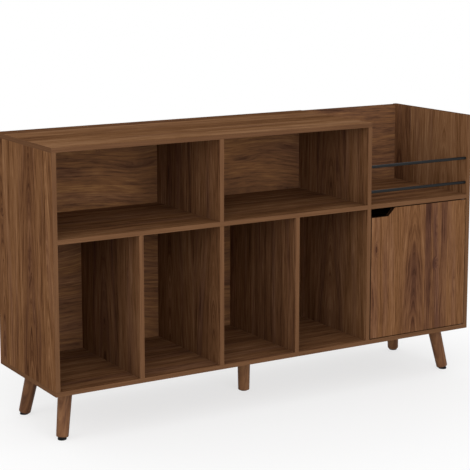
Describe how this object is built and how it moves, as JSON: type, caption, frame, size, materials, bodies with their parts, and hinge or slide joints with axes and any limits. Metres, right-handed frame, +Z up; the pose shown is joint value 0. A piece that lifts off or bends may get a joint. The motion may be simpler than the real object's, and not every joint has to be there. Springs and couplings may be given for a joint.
{
  "type": "record cabinet",
  "caption": "Low walnut cabinet on splayed legs, with open record cubbies under open bays, and a railed display bay above a bay with a hinged door.",
  "frame": {"origin": "on the floor, below the middle of the cabinet's width and depth", "axes": "+X to the right as seen from the front, +Y to the rear, +Z up; the door is in the front, -Y, at the right"},
  "size_m": [1.6, 0.435, 0.924],
  "materials": {
    "walnut_laminated_board": "matt melamine with walnut grain",
    "walnut_laminated_fibreboard": "matt melamine with walnut grain",
    "turned_walnut": "satin lacquer",
    "black_powder_coated_steel": "satin powder coat",
    "black_moulded_plastic": "moulded",
    "dark_moulded_nylon": "moulded",
    "fluted_beech": "bare",
    "die_cast_zinc": "as cast",
    "ferrite_magnet": "ground",
    "zinc_plated_steel": "bright zinc plate"
  },
  "bodies": {
    "carcass": {"bay_upright": "walnut_laminated_board", "bottom_panel": "walnut_laminated_board", "cam_bolts": "zinc_plated_steel", "cam_locks": "die_cast_zinc", "catch_magnet": "ferrite_magnet", "catch_screws": "zinc_plated_steel", "centre_foot_pad": "black_moulded_plastic", "centre_leg": "turned_walnut", "centre_leg_plate": "zinc_plated_steel", "display_back_board": "walnut_laminated_fibreboard", "display_shelf": "walnut_laminated_board", "door_bay_back_board": "walnut_laminated_fibreboard", "dowels": "fluted_beech", "front_left_foot_pad": "black_moulded_plastic", "front_left_leg": "turned_walnut", "front_left_leg_plate": "zinc_plated_steel", "front_right_foot_pad": "black_moulded_plastic", "front_right_leg": "turned_walnut", "front_right_leg_plate": "zinc_plated_steel", "left_side_panel": "walnut_laminated_board", "leg_plate_screws": "zinc_plated_steel", "leg_studs": "zinc_plated_steel", "lower_back_board": "walnut_laminated_fibreboard", "lower_divider_1": "walnut_laminated_board", "lower_divider_2": "walnut_laminated_board", "lower_divider_3": "walnut_laminated_board", "lower_pivot_bush": "dark_moulded_nylon", "lower_rail": "black_powder_coated_steel", "magnetic_catch": "dark_moulded_nylon", "middle_shelf": "walnut_laminated_board", "rear_left_foot_pad": "black_moulded_plastic", "rear_left_leg": "turned_walnut", "rear_left_leg_plate": "zinc_plated_steel", "rear_right_foot_pad": "black_moulded_plastic", "rear_right_leg": "turned_walnut", "rear_right_leg_plate": "zinc_plated_steel", "right_side_panel": "walnut_laminated_board", "top_panel": "walnut_laminated_board", "upper_back_board": "walnut_laminated_fibreboard", "upper_divider": "walnut_laminated_board", "upper_pivot_bush": "dark_moulded_nylon", "upper_rail": "black_powder_coated_steel"},
    "door": {"door": "walnut_laminated_board", "lower_pivot_pin": "zinc_plated_steel", "upper_pivot_pin": "zinc_plated_steel", "strike_plate": "zinc_plated_steel", "strike_screws": "zinc_plated_steel"}
  },
  "joints": [
    {"name": "door_swing", "type": "hinge", "parent": "carcass", "child": "door", "pos_m": [0.77, -0.21, 0.4025], "axis": [0, 0, 1], "range_deg": [0, 110]}
  ]
}
